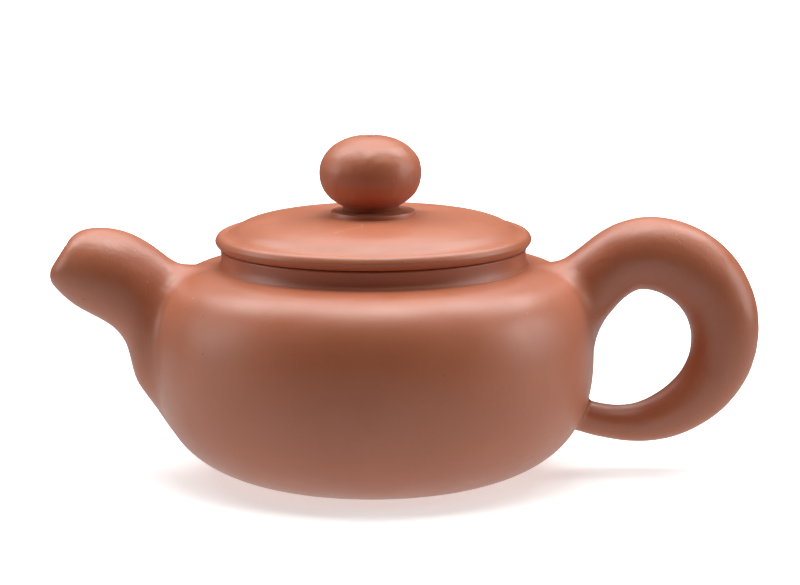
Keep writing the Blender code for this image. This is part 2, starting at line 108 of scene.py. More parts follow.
# The handle's guide sections, in the same order
HANDLE_SECTIONS = (
    (34.50, 30.50, 8.60, 8.20, -38.7),
    (39.80, 34.60, 8.00, 7.80, -38.2),
    (44.90, 39.60, 6.60, 6.60, -39.0),
    (49.83, 43.66, 6.93, 6.88, -25.7),
    (55.20, 44.59, 7.36, 7.28, 4.2),
    (60.87, 43.23, 7.62, 7.15, 23.3),
    (65.85, 39.92, 7.54, 7.21, 44.0),
    (69.37, 34.99, 7.30, 7.04, 65.4),
    (70.86, 29.05, 6.89, 6.88, 85.8),
    (70.28, 23.04, 6.52, 6.34, 105.7),
    (67.61, 17.69, 5.96, 5.97, 126.9),
    (63.30, 13.47, 5.33, 5.15, 143.8),
    (57.94, 10.53, 4.69, 4.62, 158.7),
    (52.04, 9.24, 3.69, 3.70, 177.9),
    (45.29, 10.03, 3.27, 3.46, 195.6),
    (37.50, 12.60, 3.30, 3.50, 198.4),
)

# Heights between which the handle's fillet grows, and its share at the lower root
HANDLE_BLEND_LOW = 12.0
HANDLE_BLEND_RISE = 14.0
HANDLE_BLEND_LEAST = 0.3

# The hole through the wall that the strainer sits in
INLET_RADIUS = 7.0
INLET_HEIGHT = 28.485
INLET_FIRST_X = -43.8
INLET_LAST_X = -36.0

SKIN_LOW = (-66, -46.2, -1.5)
SKIN_HIGH = (79.5, 46.2, 53.5)
LIMB_FADE = 2.0  # from the belly to where a limb's finish is full
BELLY_UNEVENNESS = 0.25
POT_FACET = 6.0
KNOB_FACET = 4.0
KNOB_UNEVENNESS = 2.0

# The lid and the knob
LID_RADIUS = 31.6
BEAD_RADIUS = 1.4
BEAD_HEIGHT = LID_SEAT + 1.33
BEAD_FIRST = 117  # degrees, at the groove
BEAD_LAST = -60
BEAD_STEPS = 40
BEAD_RIDGE = 0.07
BEAD_RIDGE_SPREAD = 15
CROWN_HEIGHT = 52.35
CROWN_RADIUS = 9.0
CROWN_PULL = 19.7
GROOVE_PULL = 3.0
GROOVE_RISE = 0.9
CROWN_RINGS = (3.0, 6.0)
VENT_DRIFT = 6.0  # radius inside which the lid's top follows the vent sideways
LID_THICKNESS = 2.6
FLANGE_OUTER = 27.0
FLANGE_INNER = 24.7
FLANGE_TOE = 39.8
COLLAR_RADIUS = 8.5
COLLAR_BOTTOM = 52.35
COLLAR_TOP = 53.2
KNOB_RADIUS = 10.2
KNOB_HALF_HEIGHT = 7.57
KNOB_CENTRE = 60.77
KNOB_SHIFT = -0.5
KNOB_ROUNDNESS = 2.17
STEM_RADIUS = 5.6
VENT_RADIUS = 1.1
VENT_FUNNEL = 1.6
VENT_SHIFT = -0.8

# Short scratches on the lid: both ends and the width
LID_SCRATCHES = (
    ((-7.5, -19.85, 51.77), (-2.2, -15.4, 52.2), 0.16),
    ((-2.33, -12.8, 52.3), (-1.9, -15.2, 52.22), 0.13),
)

# The studio's lamps: azimuth from the camera's side, elevation, and share of the power
LAMP_DISTANCE = 0.9
LAMP_SIZE = 0.5
LAMPS = (
    ("top_lamp", 0, 90, 0.275),
    ("back_left_lamp", -120, 52, 0.195),
    ("back_right_lamp", 120, 52, 0.215),
    ("back_lamp", 180, 52, 0.10),
    ("front_right_lamp", 60, 52, 0.02),
    ("left_lamp", -90, 15, 0.09),
    ("right_lamp", 90, 15, 0.125),
)

# The floor sweep, in metres: half width, front and back edges, the wall's top and the bend's radius
SWEEP_WIDTH = 3.0
SWEEP_FRONT = -1.6
SWEEP_BACK = 1.6
SWEEP_RISE = 1.8
SWEEP_BEND = 0.5
SWEEP_STEPS = 16
FLOOR_COLOUR = (0.8, 0.8, 0.8, 1)
FLOOR_UNSEEN_COLOUR = (0.04, 0.04, 0.04, 1)  # for rays that aren't the camera's
FLOOR_SEEN = (0.07, 0.22, 0.5, 1.2)  # distances from the pot's axis in metres, and the glow at each
FLOOR_GLOW_EDGE = (0.18, 0.21)

# The camera
CAMERA_DISTANCE = 700.0
CAMERA_ELEVATION = 10.0
CAMERA_ROLL = -0.29
CAMERA_TARGET = (5.27, 0.0, 36.46)
CAMERA_LENS = 156.9


# ---------------------------------------------------------------- settings


class TeapotShape(PropertyGroup):
    """Sizes of the pot's skin and its hand-made unevenness."""

    skin_step: FloatProperty(
        name="Skin step", description="Spacing of the pot skin's points", default=0.78 * MM, unit="LENGTH"
    )
    spout_blend: FloatProperty(
        name="Spout blend", description="Reach of the smoothed clay round the spout's root",
        default=3.2 * MM, unit="LENGTH"
    )
    handle_blend: FloatProperty(
        name="Handle blend", description="Reach of the smoothed clay round the handle's roots",
        default=3.4 * MM, unit="LENGTH"
    )
    hand_unevenness: FloatProperty(
        name="Hand unevenness", description="Depth of the soft facets on hand-worked pieces",
        default=0.06 * MM, unit="LENGTH"
    )
    turned_steps: IntProperty(
        name="Turned steps", description="Facets round a turned piece", default=192
    )


class TeapotClay(PropertyGroup):
    """Colours and finish of the unglazed clay."""

    body_colour: FloatVectorProperty(
        name="Clay", description="The fired clay's colour", subtype="COLOR", size=3,
        default=(0.47, 0.130, 0.050)
    )
    dark_colour: FloatVectorProperty(
        name="Dark clay", description="Its darker patches", subtype="COLOR", size=3,
        default=(0.42, 0.108, 0.040)
    )
    speck_colour: FloatVectorProperty(
        name="Specks", description="Its iron specks", subtype="COLOR", size=3, default=(0.16, 0.055, 0.025)
    )
    roughness: FloatProperty(
        name="Roughness", description="Roughness of the burnished clay", default=0.41, subtype="FACTOR"
    )
    gloss: FloatProperty(
        name="Gloss", description="Strength of the burnished clay's reflection", default=0.85, subtype="FACTOR"
    )
    bloom: FloatProperty(
        name="Bloom", description="Pale haze at the clay's grazing edges", default=0.08, subtype="FACTOR"
    )
    grain: FloatProperty(
        name="Grain", description="Depth of the clay's grain", default=0.012 * MM, unit="LENGTH"
    )


class TeapotStage(PropertyGroup):
    """Lamps of the studio."""

    lamp_power: FloatProperty(
        name="Lamp power", description="Power of all the lamps together", default=19.8, unit="POWER"
    )
    table_glow: FloatProperty(
        name="Table glow", description="Light that the white table gives off round the pot", default=0.72
    )
    world_strength: FloatProperty(
        name="Surroundings", description="Brightness of the pale room", default=0.09
    )


# ---------------------------------------------------------------- profiles


def curve(start, pull_out, pull_in, end, steps):
    """Points along one cubic curve, both ends included."""
    t = np.linspace(0, 1, steps + 1)[:, None]
    start, pull_out, pull_in, end = (np.array(p, float) for p in (start, pull_out, pull_in, end))
    return (1 - t) ** 3 * start + 3 * (1 - t) ** 2 * t * pull_out + 3 * (1 - t) * t**2 * pull_in + t**3 * end


def pot_outline(steps=48):
    """The pot's outside, from the axis under the foot up to the neck's foot."""
    lower = curve(
        (FOOT_RADIUS, 0),
        (FOOT_RADIUS + FOOT_PULL * cos(radians(FOOT_ANGLE)), FOOT_PULL * sin(radians(FOOT_ANGLE))),
        (BELLY_RADIUS, BELLY_HEIGHT - BELLY_LOWER_PULL),
        (BELLY_RADIUS, BELLY_HEIGHT),
        steps,
    )
    upper = curve(
        (BELLY_RADIUS, BELLY_HEIGHT),
        (BELLY_RADIUS, BELLY_HEIGHT + BELLY_UPPER_PULL),
        (NECK_RADIUS + SHOULDER_PULL, SHOULDER_HEIGHT),
        (NECK_RADIUS, SHOULDER_HEIGHT),
        steps,
    )
    return np.vstack([[(0, 0)], lower, upper[1:]])


def inset(points, distance):
    """An outline moved to its left, with mitred corners."""
    before = np.vstack([points[:1], points[:-1]])
    after = np.vstack([points[1:], points[-1:]])
    arriving, leaving = points - before, after - points
    arriving[0], leaving[-1] = leaving[0], arriving[-1]
    arriving /= np.linalg.norm(arriving, axis=1)[:, None]
    leaving /= np.linalg.norm(leaving, axis=1)[:, None]
    left = np.stack([-arriving[:, 1], arriving[:, 0]], 1)
    normal = left + np.stack([-leaving[:, 1], leaving[:, 0]], 1)
    normal /= np.linalg.norm(normal, axis=1)[:, None]
    return points + normal * (distance / (normal * left).sum(1))[:, None]


def arc(centre, radius, first, last, steps):
    """Points on a circle between two angles in degrees."""
    angle = np.radians(np.linspace(first, last, steps + 1))
    return np.stack([centre[0] + radius * np.cos(angle), centre[1] + radius * np.sin(angle)], 1)


def rounded(points, radius, steps=4):
    """A closed outline with each sharp corner rounded."""
    points = np.array(points, float)
    result = []
    for before, corner, after in zip(np.roll(points, 1, 0), points, np.roll(points, -1, 0)):
        a, b = before - corner, after - corner
        la, lb = np.linalg.norm(a), np.linalg.norm(b)
        a, b = a / la, b / lb
        if a @ b < -0.9 or min(la, lb) < 1e-6 or corner[0] < 1e-6:
            result.append(corner)
            continue
        cut = min(radius, 0.45 * la, 0.45 * lb)
        for t in np.linspace(0, 1, steps + 1):
            result.append(
                (1 - t) ** 2 * (corner + a * cut) + 2 * t * (1 - t) * corner + t**2 * (corner + b * cut)
            )
    return np.array(result)


# ---------------------------------------------------------------- meshes


def new_piece(name, points, faces, material):
    """A smooth-shaded piece from points in millimetres."""
    mesh = bpy.data.meshes.new(name)
    mesh.from_pydata((np.asarray(points) * MM).tolist(), [], [list(map(int, f)) for f in faces])
    mesh.update()
    mesh.shade_smooth()
    mesh.materials.append(material)
    piece = bpy.data.objects.new(name, mesh)
    bpy.context.scene.collection.objects.link(piece)
    return piece


def turned_mesh(outline, steps, centre_x=0.0):
    """Points and faces of an outline turned about the pot's axis; ends on the axis become poles."""
    outline = np.asarray(outline, float)
    closed_ring = outline[0, 0] > 1e-6
    angle = np.arange(steps) * 2 * pi / steps
    points, rings = [], []
    for r, z in outline:
        if r < 1e-6:
            rings.append([len(points)] * steps)
            points.append((centre_x, 0, z))
        else:
            rings.append(list(range(len(points), len(points) + steps)))
            points += [(centre_x + r * cos(a), r * sin(a), z) for a in angle]
    pairs = list(zip(rings, rings[1:]))
    if closed_ring:
        pairs.append((rings[-1], rings[0]))
    faces = []
    for low, high in pairs:
        for i in range(steps):
            j = (i + 1) % steps
            corners = [low[i], low[j], high[j], high[i]]
            face = [c for k, c in enumerate(corners) if c != corners[k - 1]]
            if len(face) > 2:
                faces.append(face)
    area = sum(
        a[0] * b[1] - b[0] * a[1] for a, b in zip(outline, np.vstack([outline[1:], outline[:1]]))
    )
    if area < 0:
        faces = [face[::-1] for face in faces]
    return np.array(points), faces


def section_rows(guides, steps):
    """Sections along one smooth curve that is led by the guide sections."""
    rows = np.array([guides[0]] * 2 + list(guides) + [guides[-1]] * 2, float)
    finer = []
    for a, b, c, d in zip(rows, rows[1:], rows[2:], rows[3:]):
        for t in np.arange(steps) / steps:
            middle = (3 * t**3 - 6 * t**2 + 4) * b + (1 + 3 * t + 3 * t**2 - 3 * t**3) * c
            finer.append(((1 - t) ** 3 * a + middle + t**3 * d) / 6)
    return np.array(finer + [rows[-1]])


def lofted_mesh(rows, around):
    """Points and faces of a closed loft of elliptical sections."""
    points, faces = [], []
    for x, z, depth, width, lean in rows:
        for i in range(around):
            a = 2 * pi * i / around
            u, v = depth * sin(a), width * cos(a)
            points.append((x + u * sin(radians(lean)), v, z + u * cos(radians(lean))))
    for k in range(len(rows) - 1):
        for i in range(around):
            j = (i + 1) % around
            faces.append((k * around + i, k * around + j, (k + 1) * around + j, (k + 1) * around + i))
    faces.append(tuple(range(around))[::-1])
    faces.append(tuple(range((len(rows) - 1) * around, len(rows) * around)))
    points = np.array(points)
    volume = sum(
        np.dot(points[f[0]], np.cross(points[f[i]], points[f[i + 1]]))
        for f in faces for i in range(1, len(f) - 1)
    )
    if volume < 0:
        faces = [f[::-1] for f in faces]
    return points, faces


# ---------------------------------------------------------------- the pot's field


class TurnedField:
    """Signed distance, in millimetres, to an outline turned about the pot's axis."""

    STEP = 0.25

    def __init__(self, outline):
        closed = np.vstack([outline, [(0, outline[-1][1])], [(0, outline[0][1])]])
        self.radii = np.arange(0, 82, self.STEP)
        self.heights = np.arange(-6, 62, self.STEP)
        r, z = np.meshgrid(self.radii, self.heights, indexing="ij")
        nearest = np.full(r.shape, 1e9)
        for (r0, z0), (r1, z1) in zip(outline, outline[1:]):
            dr, dz = r1 - r0, z1 - z0
            t = np.clip(((r - r0) * dr + (z - z0) * dz) / (dr * dr + dz * dz), 0, 1)
            nearest = np.minimum(nearest, np.hypot(r - r0 - t * dr, z - z0 - t * dz))
        inside = np.zeros(r.shape, bool)
        for (r0, z0), (r1, z1) in zip(closed, np.roll(closed, -1, 0)):
            if z0 != z1:
                crosses = (z0 > z) != (z1 > z)
                inside ^= crosses & (r < (r1 - r0) * (z - z0) / (z1 - z0) + r0)
        self.table = np.where(inside, -nearest, nearest)

    def __call__(self, points):
        r = np.hypot(points[:, 0], points[:, 1]) / self.STEP
        z = (points[:, 2] - self.heights[0]) / self.STEP
        i = np.clip(r.astype(int), 0, self.table.shape[0] - 2)
        k = np.clip(z.astype(int), 0, self.table.shape[1] - 2)
        u, v = r - i, z - k
        t = self.table
        low = t[i, k] * (1 - u) + t[i + 1, k] * u
        high = t[i, k + 1] * (1 - u) + t[i + 1, k + 1] * u
        return low * (1 - v) + high * v


class LoftedField:
    """Signed distance, in millimetres, to a closed loft; far points get a rough distance."""

    REACH = 7.0

    def __init__(self, rows, around=40):
        points, faces = lofted_mesh(rows, around)
        ends = [face for face in faces if len(face) > 4]
        corners = [f[:3] for f in faces if len(f) == 4] + [(f[0], f[2], f[3]) for f in faces if len(f) == 4]
        for end in ends:
            middle = len(points)
            points = np.vstack([points, points[list(end)].mean(0)])
            corners += [(a, b, middle) for a, b in zip(end, end[1:] + end[:1])]
        self.points, self.corners = points, np.array(corners)
        a, b, c = (points[self.corners[:, k]] for k in range(3))
        flat = np.cross(b - a, c - a)
        flat /= np.maximum(np.linalg.norm(flat, axis=1), 1e-9)[:, None]
        self.normals = np.zeros_like(points)
        for k, (p, q, r) in enumerate(((a, b, c), (b, c, a), (c, a, b))):
            u, v = q - p, r - p
            share = (u * v).sum(1) / np.maximum(np.linalg.norm(u, axis=1) * np.linalg.norm(v, axis=1), 1e-9)
            np.add.at(self.normals, self.corners[:, k], flat * np.arccos(np.clip(share, -1, 1))[:, None])
        self.low, self.high = points.min(0) - self.REACH, points.max(0) + self.REACH
        self.tree = BVHTree.FromPolygons([Vector(p) for p in points], self.corners.tolist())

    def __call__(self, points):
        near = np.nonzero(((points > self.low) & (points < self.high)).all(1))[0]
        result = np.full(len(points), self.REACH)
        find = self.tree.find_nearest
        found = [find(point) for point in points[near].tolist()]
        if not found:
            return result
        spot = np.array([f[0] for f in found])
        corner = self.corners[[f[2] for f in found]]
        distance = np.array([f[3] for f in found])
        a, b, c = (self.points[corner[:, k]] for k in range(3))
        u, v, w = b - a, c - a, spot - a
        uu, uv, vv, wu, wv = ((p * q).sum(1) for p, q in ((u, u), (u, v), (v, v), (w, u), (w, v)))
        whole = np.maximum(uu * vv - uv * uv, 1e-12)
        s = (vv * wu - uv * wv) / whole
        t = (uu * wv - uv * wu) / whole
        normal = (
            self.normals[corner[:, 0]] * (1 - s - t)[:, None]
            + self.normals[corner[:, 1]] * s[:, None]
            + self.normals[corner[:, 2]] * t[:, None]
        )
        inside = ((points[near] - spot) * normal).sum(1) < 0
        result[near] = np.where(inside, -distance, distance)
        return result


def smooth_union(a, b, reach):
    """The union of two distances, with the crease between them filled over a reach."""
    h = np.clip(0.5 + 0.5 * (b - a) / reach, 0, 1)
    return b + (a - b) * h - reach * h * (1 - h)


class PotField:
    """Signed distance to the pot: belly, spout and handle in one, hollowed and open at the mouth."""

    def __init__(self, spout_blend, handle_blend):
        outer = pot_outline()
        self.outside = TurnedField(outer)
        inner = inset(np.vstack([outer, [(NECK_BORE, SHOULDER_HEIGHT)]]), WALL)
        inner = np.vstack([inner, [(NECK_BORE, SHOULDER_HEIGHT + 8)]])
        self.hollow = TurnedField(inner)
        self.spout = LoftedField(section_rows(SPOUT_SECTIONS, 6))
        self.channel = LoftedField(section_rows(SPOUT_CHANNEL, 6), 28)
        self.handle = LoftedField(section_rows(HANDLE_SECTIONS, 6))
        self.spout_blend = spout_blend
        self.handle_blend = handle_blend

    def __call__(self, points):
        body = self.outside(points)
        lean = radians(NOSE_LEAN)
        nose = (NOSE_CENTRE[0] - points[:, 0]) * cos(lean) + (points[:, 2] - NOSE_CENTRE[1]) * sin(lean)
        spout = -smooth_union(-self.spout(points), -nose, NOSE_ROUND)
        solid = smooth_union(body, spout, self.spout_blend)
        height = np.clip((points[:, 2] - HANDLE_BLEND_LOW) / HANDLE_BLEND_RISE, 0, 1)
        share = HANDLE_BLEND_LEAST + (1 - HANDLE_BLEND_LEAST) * height
        solid = smooth_union(solid, self.handle(points), self.handle_blend * share)
        inlet = np.hypot(points[:, 1], points[:, 2] - INLET_HEIGHT) - INLET_RADIUS
        inlet = np.maximum(inlet, np.maximum(points[:, 0] - INLET_LAST_X, INLET_FIRST_X - points[:, 0]))
        channel = np.maximum(self.channel(points), -CHANNEL_DEPTH - body)
        space = np.minimum(np.minimum(self.hollow(points), channel), inlet)
        return np.maximum(solid, -space)


def surface_net(field, low, high, step):
    """Points and quads of a field's zero surface on a regular grid."""
    axes = [np.arange(a, b + step, step) for a, b in zip(low, high)]
    grid = np.stack(np.meshgrid(*axes, indexing="ij"), -1)
    size = grid.shape[:3]
    values = field(grid.reshape(-1, 3)).reshape(size)
    inside = values < 0
    cells = tuple(n - 1 for n in size)
    total = np.zeros(cells + (3,))
    count = np.zeros(cells, int)
    for axis in range(3):
        first = [slice(None)] * 3
        second = [slice(None)] * 3
        first[axis], second[axis] = slice(None, -1), slice(1, None)
        first, second = tuple(first), tuple(second)
        crossed = inside[first] != inside[second]
        share = np.where(crossed, values[first] / np.where(crossed, values[first] - values[second], 1), 0)
        spot = (grid[first] + share[..., None] * (grid[second] - grid[first])) * crossed[..., None]
        others = [a for a in range(3) if a != axis]
        for da in (0, 1):
            for db in (0, 1):
                window = [slice(None)] * 3
                window[others[0]] = slice(da, cells[others[0]] + da)
                window[others[1]] = slice(db, cells[others[1]] + db)
                total += spot[tuple(window)]
                count += crossed[tuple(window)]
    index = np.full(cells, -1)
    used = count > 0
    index[used] = np.arange(used.sum())
    points = total[used] / count[used][:, None]
    quads = []
    for axis in range(3):
        b, c = (axis + 1) % 3, (axis + 2) % 3
        first = [slice(None)] * 3
        second = [slice(None)] * 3
        first[axis], second[axis] = slice(None, -1), slice(1, None)
        for a in (b, c):
            first[a] = second[a] = slice(1, -1)
        leaving = inside[tuple(first)]
        crossed = leaving != inside[tuple(second)]
        place = np.argwhere(crossed)
        place[:, b] += 1
        place[:, c] += 1
        corners = []
        for db, dc in ((-1, -1), (0, -1), (0, 0), (-1, 0)):
            spot = place.copy()
            spot[:, b] += db
            spot[:, c] += dc
            corners.append(index[spot[:, 0], spot[:, 1], spot[:, 2]])
        corners = np.stack(corners, 1)
        outward = leaving[crossed]
        quads.append(np.where(outward[:, None], corners, corners[:, ::-1]))
    return points, np.vstack(quads)


def slopes(field, points, reach=0.06):
    """The field's values and gradients."""
    value = field(points)
    gradient = np.empty_like(points)
    for axis in range(3):
        moved = points.copy()
        moved[:, axis] += reach
        gradient[:, axis] = (field(moved) - value) / reach
    return value, gradient


def settle(points, faces, field, rounds=2):
    """Points drawn onto the field's surface and spread evenly along it."""
    edges = np.vstack([faces[:, [0, 1]], faces[:, [1, 2]], faces[:, [2, 3]], faces[:, [3, 0]]])
    for step in range(rounds):
        value, gradient = slopes(field, points)
        length = np.maximum(np.linalg.norm(gradient, axis=1), 0.5)[:, None]
        normal = gradient / length
        points = points - normal * np.clip(value[:, None] / length, -0.4, 0.4)
        if step < rounds - 1:
            mean = np.zeros_like(points)
            share = np.zeros(len(points))
            for a, b in ((0, 1), (1, 0)):
                np.add.at(mean, edges[:, a], points[edges[:, b]])
                np.add.at(share, edges[:, a], 1)
            drift = mean / share[:, None] - points
            drift -= normal * (drift * normal).sum(1)[:, None]
            points = points + 0.5 * drift
    return points


# ---------------------------------------------------------------- materials


class Tree:
    """Short calls for wiring one node tree."""

    def __init__(self, tree):
        self.tree = tree

    def node(self, kind, **settings):
        """A new node with its settings."""
        node = self.tree.nodes.new(kind)
        for key, value in settings.items():
            setattr(node, key, value)
        return node

    def set(self, socket, value):
        """A socket's link or its plain value."""
        if isinstance(value, bpy.types.NodeSocket):
            self.tree.links.new(value, socket)
        else:
            socket.default_value = value

    def math(self, operation, a, b=0.0, clamp=False):
        """One sum of two numbers."""
        node = self.node("ShaderNodeMath", operation=operation, use_clamp=clamp)
        self.set(node.inputs[0], a)
        self.set(node.inputs[1], b)
        return node.outputs[0]

    def noise(self, where, scale, detail=3.0, roughness=0.55, distortion=0.0):
        """Noise between nought and one."""
        node = self.node("ShaderNodeTexNoise")
        for key, value in (
            ("Vector", where), ("Scale", scale), ("Detail", detail), ("Roughness", roughness),
            ("Distortion", distortion),
        ):
            self.set(node.inputs[key], value)
        return node.outputs["Fac"]

    def ramp(self, value, low, high, to_low=0.0, to_high=1.0):
        """A number carried from one range to another and held at its ends."""
        node = self.node("ShaderNodeMapRange")
        for key, item in (
            ("Value", value), ("From Min", low), ("From Max", high), ("To Min", to_low), ("To Max", to_high)
        ):
            self.set(node.inputs[key], item)
        return node.outputs["Result"]

    def mix(self, share, a, b):
        """A share of the way from one colour to another."""
        node = self.node("ShaderNodeMix", data_type="RGBA")
        self.set(node.inputs["Factor"], share)
        self.set(node.inputs["A"], a)
        self.set(node.inputs["B"], b)
        return node.outputs["Result"]

    def stretched(self, where, scale, turn=(0.0, 0.0, 0.0)):
        """Coordinates scaled and turned."""
        node = self.node("ShaderNodeMapping")
        self.set(node.inputs["Vector"], where)
        self.set(node.inputs["Rotation"], turn)
        self.set(node.inputs["Scale"], scale)
        return node.outputs["Vector"]

    def vector(self, operation, a, b=(0.0, 0.0, 0.0)):
        """One sum of two vectors."""
        node = self.node("ShaderNodeVectorMath", operation=operation)
        self.set(node.inputs[0], a)
        self.set(node.inputs[1], b)
        return node.outputs["Value" if operation in ("LENGTH", "DOT_PRODUCT", "DISTANCE") else "Vector"]

    def line(self, where, first, last, width):
        """One inside a thin straight line between two points, falling to nothing at its sides."""
        run = Vector(last) - Vector(first)
        reach = self.vector("SUBTRACT", where, tuple(first))
        share = self.math("DIVIDE", self.vector("DOT_PRODUCT", reach, tuple(run)), run.length_squared, True)
        node = self.node("ShaderNodeVectorMath", operation="SCALE")
        node.inputs[0].default_value = tuple(run)
        self.set(node.inputs["Scale"], share)
        away = self.vector("DISTANCE", reach, node.outputs["Vector"])
        return self.ramp(away, 0.3 * width, width, 1.0, 0.0)


def colour4(colour, gain=1.0):
    """A colour scaled, with its alpha."""
    return tuple(c * gain for c in colour) + (1.0,)


def clay_material(name, turned=1.0, worked=0.0, gain=1.0, rougher=0.0, limbs=False, scratches=()):
    """Unglazed fired clay: patches, grain, iron and sand specks, turning lines and soft tool marks.

    With limbs, the piece's own "limb" attribute says where the hand-worked finish is.
    """
    clay = bpy.context.scene.teapot_clay
    material = bpy.data.materials.new(name)
    material.use_nodes = True
    t = Tree(material.node_tree)
    shader = material.node_tree.nodes["Principled BSDF"]
    where = t.node("ShaderNodeTexCoord").outputs["Object"]
    if limbs:
        limb = t.node("ShaderNodeAttribute", attribute_name="limb").outputs["Fac"]
        worked = t.math("ADD", t.math("MULTIPLY", limb, 1.0 - worked), worked)
        turned = t.math("MULTIPLY", t.math("SUBTRACT", 1.0, limb), turned)

    patches = t.ramp(t.noise(where, 38.0, 2.0, 0.5, 0.4), 0.3, 0.7)
    mottle = t.ramp(t.noise(where, 260.0, 4.0, 0.6), 0.25, 0.75)
    fine = t.noise(where, 1500.0, 3.0, 0.7)
    colour = t.mix(patches, colour4(clay.dark_colour, gain), colour4(clay.body_colour, gain))
    colour = t.mix(t.math("MULTIPLY", mottle, 0.22), colour, colour4(clay.body_colour, 1.12 * gain))
    colour = t.mix(t.ramp(fine, 0.30, 0.44, 0.22, 0.0), colour, colour4(clay.dark_colour, 0.75 * gain))

    cells = t.node("ShaderNodeTexVoronoi", feature="F1")
    t.set(cells.inputs["Vector"], where)
    t.set(cells.inputs["Scale"], 520.0)
    chance = t.node("ShaderNodeSeparateColor")
    t.set(chance.inputs["Color"], cells.outputs["Color"])
    iron = t.math(
        "MULTIPLY", t.ramp(cells.outputs["Distance"], 0.10, 0.17, 1.0, 0.0),
        t.math("GREATER_THAN", chance.outputs["Red"], 0.985),
    )
    sand = t.math(
        "MULTIPLY", t.ramp(cells.outputs["Distance"], 0.09, 0.15, 1.0, 0.0),
        t.math("LESS_THAN", chance.outputs["Green"], 0.02),
    )
    colour = t.mix(t.math("MULTIPLY", iron, 0.6), colour, colour4(clay.speck_colour))
    colour = t.mix(t.math("MULTIPLY", sand, 0.45), colour, (0.78, 0.45, 0.30, 1.0))
    scored = 0.0
    for first, last, width in scratches:
        mark = t.line(where, [v * MM for v in first], [v * MM for v in last], width * MM)
        scored = t.math("MAXIMUM", scored, mark)
    if scratches:
        colour = t.mix(t.math("MULTIPLY", scored, 0.5), colour, (0.85, 0.52, 0.36, 1.0))
    t.set(shader.inputs["Base Color"], colour)

    streaks = t.ramp(t.noise(where, 95.0, 3.0, 0.6), 0.3, 0.7, -0.05, 0.06)
    rough = t.math("ADD", clay.roughness + rougher, streaks)
    rough = t.math("ADD", rough, t.ramp(fine, 0.3, 0.7, -0.03, 0.05))
    t.set(shader.inputs["Roughness"], rough)
    shader.inputs["IOR"].default_value = 1.5
    shader.inputs["Specular IOR Level"].default_value = clay.gloss
    shader.inputs["Sheen Weight"].default_value = clay.bloom
    shader.inputs["Sheen Roughness"].default_value = 0.5

    rings = t.noise(t.stretched(where, (0.06, 0.06, 1.0)), 1100.0, 3.0, 0.6)
    dents = t.noise(where, 330.0, 2.0, 0.5, 0.6)
    scrapes = t.noise(t.stretched(where, (1.0, 1.0, 0.22), (0.0, 0.5, 0.0)), 1300.0, 2.0, 0.6, 0.5)
    scrapes = t.math(
        "MULTIPLY", t.ramp(scrapes, 0.60, 0.72), t.ramp(t.noise(where, 150.0, 1.0, 0.5), 0.45, 0.6)
    )
    height = t.noise(where, 900.0, 4.0, 0.65)
    height = t.math("ADD", height, t.math("MULTIPLY", rings, t.math("MULTIPLY", turned, 0.45)))
    height = t.math("ADD", height, t.math("MULTIPLY", dents, t.math("MULTIPLY", worked, 7.0)))
    height = t.math("SUBTRACT", height, t.math("MULTIPLY", scrapes, t.math("MULTIPLY", worked, 3.0)))
    height = t.math("ADD", height, t.math("MULTIPLY", sand, 0.8))
    height = t.math("SUBTRACT", height, t.math("MULTIPLY", iron, 0.7))
    height = t.math("SUBTRACT", height, t.math("MULTIPLY", scored, 1.2))
    bump = t.node("ShaderNodeBump")
    bump.inputs["Strength"].default_value = 1.0
    bump.inputs["Distance"].default_value = clay.grain
    t.set(bump.inputs["Height"], height)
    t.set(shader.inputs["Normal"], bump.outputs["Normal"])
    return material


def unevenness(points, normals, depth, size):
    """Soft hand-made facets: each point moved along its normal by smooth noise."""
    moved = points.copy()
    for index, (point, normal) in enumerate(zip(points, normals)):
        value = noise.noise(Vector(point) / size) + 0.5 * noise.noise(Vector(point) / (size * 0.45))
        moved[index] += normal * (depth * value)
    return moved


# ---------------------------------------------------------------- operators


class TEAPOT_OT_pot(Operator):
    """Build the pot's seamless skin: belly, spout and handle"""

    bl_idname = "teapot.pot"
    bl_label = "Pot skin"

    def execute(self, context):
        shape = context.scene.teapot_shape
        field = PotField(shape.spout_blend / MM, shape.handle_blend / MM)
        step = shape.skin_step / MM * 1.0
        points, faces = surface_net(field, SKIN_LOW, SKIN_HIGH, step)
        points = settle(points, faces, field, 3)
        normals = slopes(field, points)[1]
        normals /= np.maximum(np.linalg.norm(normals, axis=1), 0.5)[:, None]
        limb = np.clip(field.outside(points) / LIMB_FADE, 0, 1)
        share = BELLY_UNEVENNESS + (1 - BELLY_UNEVENNESS) * limb
        points = unevenness(points, normals * share[:, None], shape.hand_unevenness / MM, POT_FACET)
        piece = new_piece("pot_skin", points, faces, clay_material("pot_clay", 1.0, 0.15, limbs=True))
        piece.data.attributes.new("limb", "FLOAT", "POINT").data.foreach_set("value", limb.astype(np.float32))
        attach(piece, "pot")
        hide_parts("base_disc", "body_wall", "shoulder_disc", "spout", "handle")
        return {"FINISHED"}


class TEAPOT_OT_neck(Operator):
    """Build the neck that carries the lid"""

    bl_idname = "teapot.neck"
    bl_label = "Neck"

    def execute(self, context):
        steps = context.scene.teapot_shape.turned_steps
        outline = rounded(
            [
                (NECK_BORE, SHOULDER_HEIGHT - 0.6),
                (NECK_RADIUS + 0.55, SHOULDER_HEIGHT - 0.6),
                (NECK_RADIUS + 0.45, SHOULDER_HEIGHT + 0.15),
                (NECK_RADIUS, SHOULDER_HEIGHT + 0.7),
                (NECK_RADIUS - 0.15, (SHOULDER_HEIGHT + NECK_TOP) / 2),
                (NECK_RADIUS, NECK_TOP - 0.2),
                (NECK_RADIUS - 0.2, NECK_TOP),
                (NECK_BORE, NECK_TOP),
            ],
            0.3,
        )
        points, faces = turned_mesh(outline, steps)
        piece = new_piece("neck", points, faces, clay_material("neck_clay", 1.4, 0.0))
        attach(piece, "pot")
        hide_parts("neck_ring")
        return {"FINISHED"}


